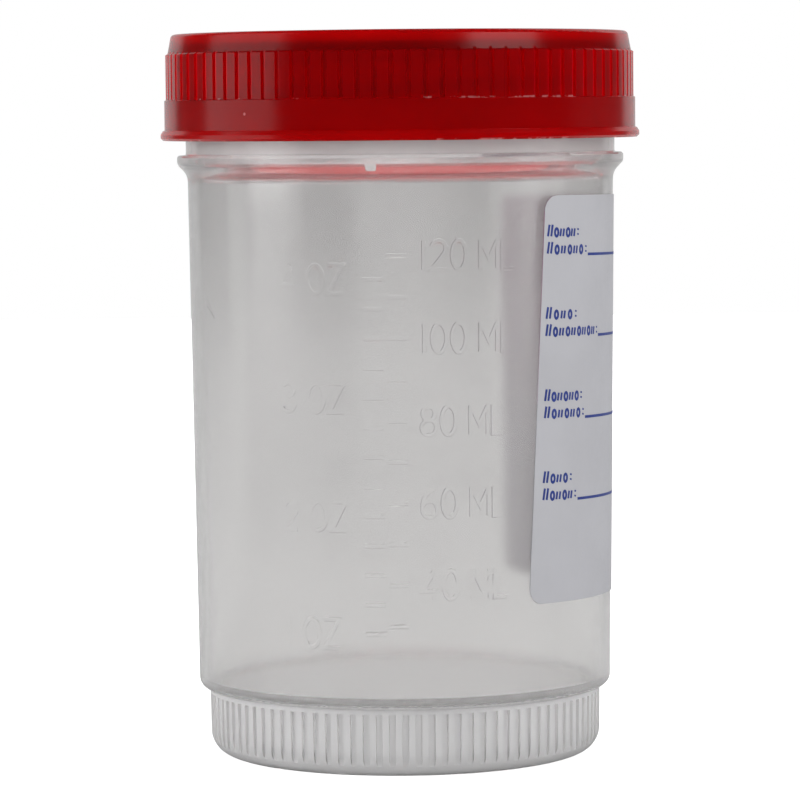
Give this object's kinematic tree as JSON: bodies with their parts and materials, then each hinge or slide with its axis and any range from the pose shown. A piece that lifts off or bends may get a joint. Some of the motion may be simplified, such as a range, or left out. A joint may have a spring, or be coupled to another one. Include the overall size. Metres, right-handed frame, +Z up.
{
  "type": "specimen container",
  "caption": "Tall translucent moulded specimen cup with a fluted stepped foot, a grooved screw cap and an adhesive write-in label on its wall.",
  "frame": {"origin": "centre of the foot's resting plane", "axes": "+Z up along the container's axis, -Y towards the front, where the moulded scale is"},
  "size_m": [0.0604, 0.0604, 0.091],
  "materials": {
    "clear_plastic": "translucent natural polypropylene, satin",
    "red_plastic": "opaque red polypropylene, semi-gloss",
    "label_paper": "smooth matt label stock"
  },
  "bodies": {
    "container": {"container_body": "clear_plastic", "label": "label_paper"},
    "cap": {"screw_cap": "red_plastic"}
  },
  "joints": [
    {"name": "cap_lift", "type": "slide", "parent": "container", "child": "cap", "axis": [0, 0, 1], "range_m": [0, 0.03]}
  ]
}
